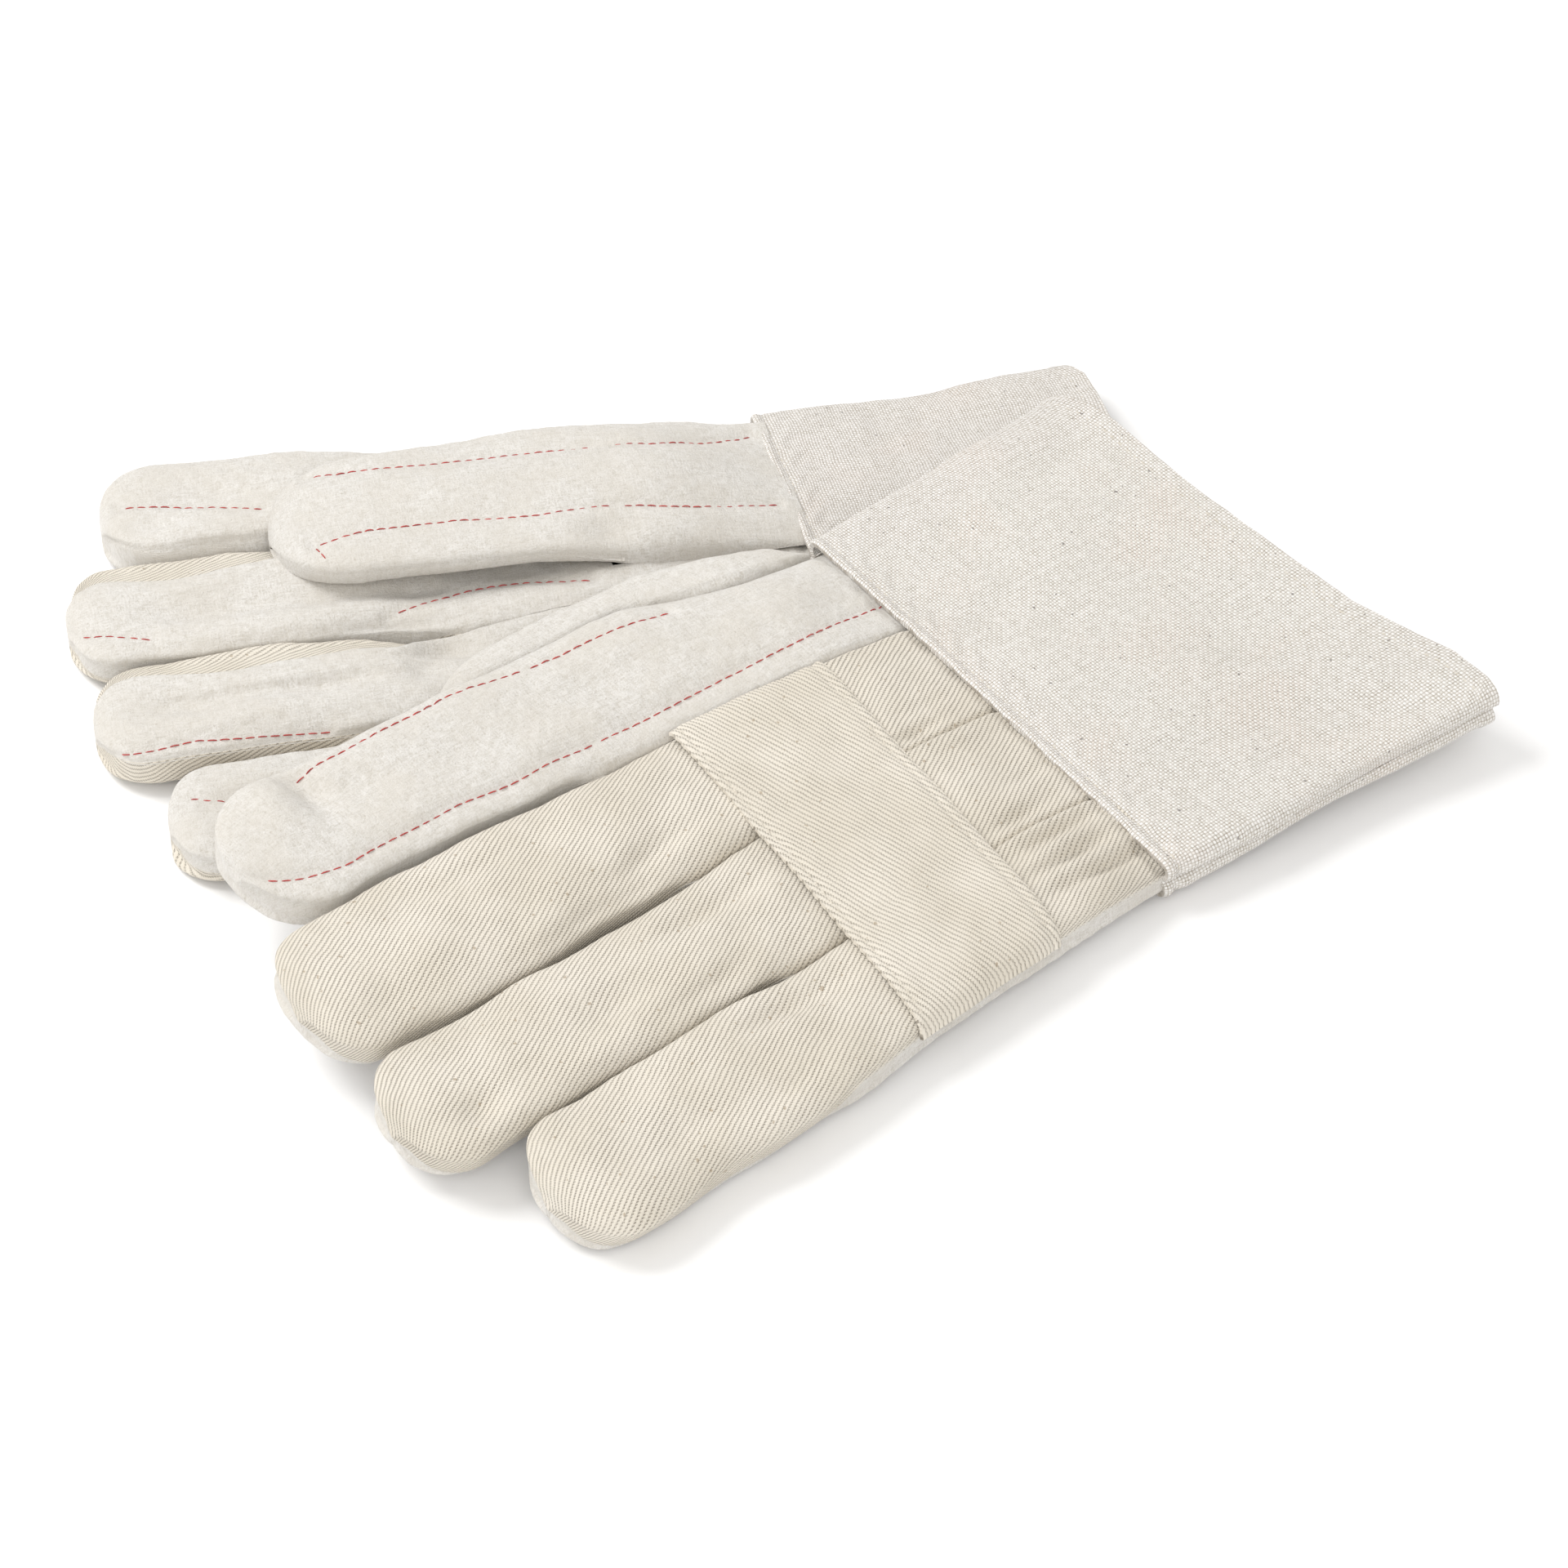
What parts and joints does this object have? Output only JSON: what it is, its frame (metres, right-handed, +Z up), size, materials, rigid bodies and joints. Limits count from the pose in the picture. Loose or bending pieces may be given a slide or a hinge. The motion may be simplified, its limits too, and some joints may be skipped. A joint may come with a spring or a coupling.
{
  "type": "pair of gauntlet work gloves",
  "caption": "Pair of thick quilted cotton gloves with duck gauntlets, one laid across the other, with fingers, a thumb and a gauntlet that bend.",
  "frame": {"origin": "bottom centre of the pair's box, on the table", "axes": "+X along the right glove from fingertips to gauntlet, +Z up"},
  "size_m": [0.3612, 0.3184, 0.0425],
  "materials": {
    "fleece": "napped cotton",
    "twill": "cotton drill with a steep twill line",
    "duck": "plain-weave cotton duck",
    "lining": "plain cotton",
    "thread": "sewing thread"
  },
  "bodies": {
    "left_cuff": {"left_cuff_back": "duck", "left_cuff_palm": "duck"},
    "left_index": {"left_index_finger": "fleece"},
    "left_hand": {"left_index_wrap": "fleece", "left_knuckle_strap": "twill", "left_little_back_strip": "twill", "left_middle_back_strip": "twill", "left_palm_lining": "lining", "left_palm_panel": "fleece", "left_ring_back_strip": "twill", "left_thumb_base": "fleece", "left_thumb_inner": "fleece", "left_thumb_outer": "fleece"},
    "left_little": {"left_little_finger_back": "twill", "left_little_finger_palm": "fleece"},
    "left_middle": {"left_middle_finger_back": "twill", "left_middle_finger_palm": "fleece"},
    "left_ring": {"left_ring_finger_back": "twill", "left_ring_finger_palm": "fleece"},
    "right_hand": {"right_cuff_back": "duck", "right_cuff_palm": "duck", "right_index_wrap": "fleece", "right_knuckle_strap": "twill", "right_little_back_strip": "twill", "right_little_finger_back": "twill", "right_little_finger_palm": "fleece", "right_middle_back_strip": "twill", "right_palm_lining": "lining", "right_palm_panel": "fleece", "right_ring_back_strip": "twill", "right_thumb_base": "fleece"},
    "right_index": {"right_index_finger": "fleece"},
    "right_middle": {"right_middle_finger_back": "twill", "right_middle_finger_palm": "fleece"},
    "right_ring": {"right_ring_finger_back": "twill", "right_ring_finger_palm": "fleece"},
    "right_thumb": {"right_thumb_inner": "fleece", "right_thumb_outer": "fleece"}
  },
  "joints": [
    {"name": "left_glove_lift", "type": "slide", "parent": "right_hand", "child": "left_hand", "axis": [0, 0, 1], "range_m": [0, 0.15]},
    {"name": "left_index_bend", "type": "hinge", "parent": "left_hand", "child": "left_index", "pos_m": [-0.06952, -0.00141, 0.03797], "axis": [-0.4277, 0.8887, 0.165], "range_deg": [0, 50]},
    {"name": "left_middle_bend", "type": "hinge", "parent": "left_hand", "child": "left_middle", "pos_m": [-0.05113, -0.03962, 0.03087], "axis": [-0.4277, 0.8887, 0.165], "range_deg": [0, 50]},
    {"name": "left_ring_bend", "type": "hinge", "parent": "left_hand", "child": "left_ring", "pos_m": [-0.03381, -0.07562, 0.02419], "axis": [-0.4277, 0.8887, 0.165], "range_deg": [0, 50]},
    {"name": "left_little_bend", "type": "hinge", "parent": "left_hand", "child": "left_little", "pos_m": [-0.01734, -0.10983, 0.01783], "axis": [-0.4277, 0.8887, 0.165], "range_deg": [0, 50]},
    {"name": "left_cuff_fold", "type": "hinge", "parent": "left_hand", "child": "left_cuff", "pos_m": [0.05237, -0.01024, 0.02576], "axis": [0.4277, -0.8887, -0.165], "range_deg": [0, 65]},
    {"name": "right_index_bend", "type": "hinge", "parent": "right_hand", "child": "right_index", "pos_m": [-0.12457, 0.13645, 0.013], "axis": [0, 1, 0], "range_deg": [0, 65]},
    {"name": "right_middle_bend", "type": "hinge", "parent": "right_hand", "child": "right_middle", "pos_m": [-0.12457, 0.09345, 0.013], "axis": [0, 1, 0], "range_deg": [0, 65]},
    {"name": "right_ring_bend", "type": "hinge", "parent": "right_hand", "child": "right_ring", "pos_m": [-0.08657, 0.05094, 0.013], "axis": [0, 1, 0], "range_deg": [0, 65]},
    {"name": "right_thumb_lift", "type": "hinge", "parent": "right_hand", "child": "right_thumb", "pos_m": [-0.03457, 0.10995, 0.0259], "axis": [0, 1, 0], "range_deg": [0, 75]}
  ]
}
